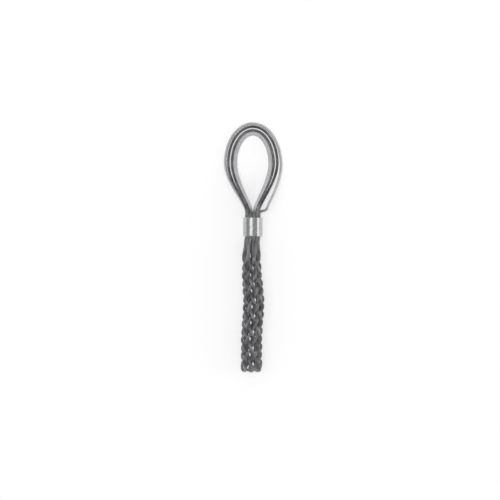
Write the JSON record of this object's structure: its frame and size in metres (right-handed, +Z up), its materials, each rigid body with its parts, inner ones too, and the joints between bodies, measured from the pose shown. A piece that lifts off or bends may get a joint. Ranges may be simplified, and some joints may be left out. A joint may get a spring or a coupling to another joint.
{
  "type": "cable pulling grip",
  "caption": "Wire mesh cable pulling grip: a woven steel tube, a pressed ferrule and a flexible teardrop eye.",
  "frame": {"origin": "under the middle of the bounding box, on the surface that the grip lies on", "axes": "+Y along the grip towards the crown of the eye, +Z up from the surface"},
  "size_m": [0.0588, 0.2498, 0.0219],
  "materials": {
    "strand_steel": "galvanised, stranded",
    "ferrule_metal": "polished"
  },
  "bodies": {
    "root": {"strand_1": "strand_steel", "strand_2": "strand_steel", "strand_3": "strand_steel", "strand_4": "strand_steel", "strand_5": "strand_steel", "strand_6": "strand_steel", "strand_7": "strand_steel", "ferrule": "ferrule_metal"}
  },
  "joints": []
}
